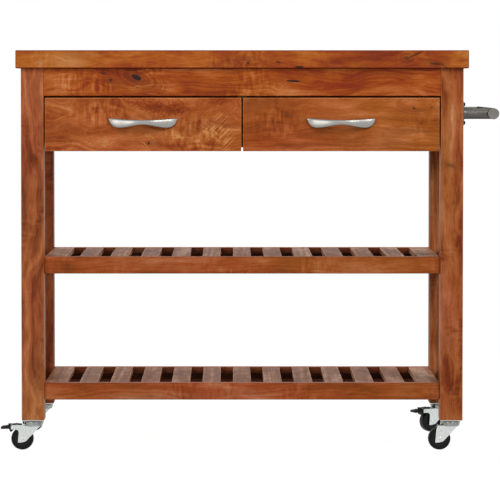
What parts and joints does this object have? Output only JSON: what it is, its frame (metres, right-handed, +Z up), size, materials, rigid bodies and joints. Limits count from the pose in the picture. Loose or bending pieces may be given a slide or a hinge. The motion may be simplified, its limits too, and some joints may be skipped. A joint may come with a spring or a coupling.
{
  "type": "kitchen cart",
  "caption": "Rolling kitchen cart in hardwood with a solid worktop, side-by-side drawers, slatted open shelves, a steel end rail and swivel casters with brake pedals.",
  "frame": {"origin": "on the floor, under the middle of the whole cart's bounding box, rail handle and brake pedal included", "axes": "+X towards the end with the rail handle (the cart's right, seen from the drawers), +Y towards the back, +Z up"},
  "size_m": [1.105, 0.414, 0.888],
  "materials": {
    "worktop_hardwood": "oiled, satin",
    "leg_hardwood": "oiled, satin",
    "frame_hardwood": "oiled, satin",
    "drawer_hardwood": "oiled, satin",
    "slat_hardwood": "oiled, satin",
    "inner_hardwood": "sawn and sanded",
    "plywood": "sanded",
    "satin_nickel": "satin nickel plate",
    "satin_steel": "brushed",
    "grey_plastic": "moulded",
    "black_screw": "blackened",
    "zinc_plate": "bright zinc plate",
    "race_steel": "hardened and oiled",
    "zinc_screw": "zinc plate",
    "wheel_plastic": "moulded",
    "pedal_plastic": "moulded"
  },
  "bodies": {
    "frame": {"worktop": "worktop_hardwood", "divider": "inner_hardwood", "drawer_runners": "inner_hardwood", "runner_screws": "zinc_screw", "slat_cleats": "inner_hardwood", "corner_blocks": "inner_hardwood", "worktop_screws": "zinc_screw", "handle_tube": "satin_steel", "handle_caps": "grey_plastic", "handle_bracket_front": "satin_steel", "handle_bracket_rear": "satin_steel", "handle_screws": "black_screw", "front_apron": "frame_hardwood", "rear_apron": "frame_hardwood", "left_apron": "frame_hardwood", "right_apron": "frame_hardwood", "lower_shelf_front_rail": "frame_hardwood", "lower_shelf_rear_rail": "frame_hardwood", "lower_shelf_end_rails": "frame_hardwood", "middle_shelf_front_rail": "frame_hardwood", "middle_shelf_rear_rail": "frame_hardwood", "middle_shelf_end_rails": "frame_hardwood", "lower_shelf_slats": "slat_hardwood", "middle_shelf_slats": "slat_hardwood", "leg_front_left": "leg_hardwood", "leg_front_right": "leg_hardwood", "leg_rear_left": "leg_hardwood", "leg_rear_right": "leg_hardwood", "caster_plates": "zinc_plate", "caster_kingpins": "zinc_plate", "caster_races": "race_steel", "caster_screws": "zinc_screw"},
    "left_drawer": {"left_drawer_front": "drawer_hardwood", "left_drawer_sides": "inner_hardwood", "left_drawer_back": "inner_hardwood", "left_drawer_bottom": "plywood", "left_drawer_pull": "satin_nickel", "left_drawer_pull_screws": "zinc_screw"},
    "right_drawer": {"right_drawer_front": "drawer_hardwood", "right_drawer_sides": "inner_hardwood", "right_drawer_back": "inner_hardwood", "right_drawer_bottom": "plywood", "right_drawer_pull": "satin_nickel", "right_drawer_pull_screws": "zinc_screw"},
    "front_left_caster": {"front_left_fork": "zinc_plate", "front_left_axle": "zinc_plate", "front_left_brake_pin": "zinc_plate"},
    "front_left_wheel": {"front_left_wheel": "wheel_plastic"},
    "front_left_brake_pedal": {"front_left_brake_pedal": "pedal_plastic"},
    "front_right_caster": {"front_right_fork": "zinc_plate", "front_right_axle": "zinc_plate"},
    "front_right_wheel": {"front_right_wheel": "wheel_plastic"},
    "rear_left_caster": {"rear_left_fork": "zinc_plate", "rear_left_axle": "zinc_plate"},
    "rear_left_wheel": {"rear_left_wheel": "wheel_plastic"},
    "rear_right_caster": {"rear_right_fork": "zinc_plate", "rear_right_axle": "zinc_plate", "rear_right_brake_pin": "zinc_plate"},
    "rear_right_wheel": {"rear_right_wheel": "wheel_plastic"},
    "rear_right_brake_pedal": {"rear_right_brake_pedal": "pedal_plastic"}
  },
  "joints": [
    {"name": "left_drawer_slide", "type": "slide", "parent": "frame", "child": "left_drawer", "axis": [0, -1, 0], "range_m": [0, 0.225]},
    {"name": "right_drawer_slide", "type": "slide", "parent": "frame", "child": "right_drawer", "axis": [0, -1, 0], "range_m": [0, 0.225]},
    {"name": "front_left_swivel", "type": "hinge", "parent": "frame", "child": "front_left_caster", "pos_m": [-0.47945, -0.158, 0.068], "axis": [0, 0, 1], "continuous": true},
    {"name": "front_left_wheel_spin", "type": "hinge", "parent": "front_left_caster", "child": "front_left_wheel", "pos_m": [-0.50445, -0.158, 0.025], "axis": [0, 1, 0], "continuous": true},
    {"name": "front_left_brake_press", "type": "hinge", "parent": "front_left_caster", "child": "front_left_brake_pedal", "pos_m": [-0.52445, -0.158, 0.0495], "axis": [0, -1, 0], "range_deg": [0, 20]},
    {"name": "front_right_swivel", "type": "hinge", "parent": "frame", "child": "front_right_caster", "pos_m": [0.44855, -0.158, 0.068], "axis": [0, 0, 1], "continuous": true},
    {"name": "front_right_wheel_spin", "type": "hinge", "parent": "front_right_caster", "child": "front_right_wheel", "pos_m": [0.42355, -0.158, 0.025], "axis": [0, 1, 0], "continuous": true},
    {"name": "rear_left_swivel", "type": "hinge", "parent": "frame", "child": "rear_left_caster", "pos_m": [-0.47945, 0.172, 0.068], "axis": [0, 0, 1], "continuous": true},
    {"name": "rear_left_wheel_spin", "type": "hinge", "parent": "rear_left_caster", "child": "rear_left_wheel", "pos_m": [-0.50445, 0.172, 0.025], "axis": [0, 1, 0], "continuous": true},
    {"name": "rear_right_swivel", "type": "hinge", "parent": "frame", "child": "rear_right_caster", "pos_m": [0.44855, 0.172, 0.068], "axis": [0, 0, 1], "continuous": true},
    {"name": "rear_right_wheel_spin", "type": "hinge", "parent": "rear_right_caster", "child": "rear_right_wheel", "pos_m": [0.42627, 0.16065, 0.025], "axis": [-0.454, 0.891, 0], "continuous": true},
    {"name": "rear_right_brake_press", "type": "hinge", "parent": "rear_right_caster", "child": "rear_right_brake_pedal", "pos_m": [0.40845, 0.15157, 0.0495], "axis": [0.454, -0.891, 0], "range_deg": [0, 20]}
  ]
}
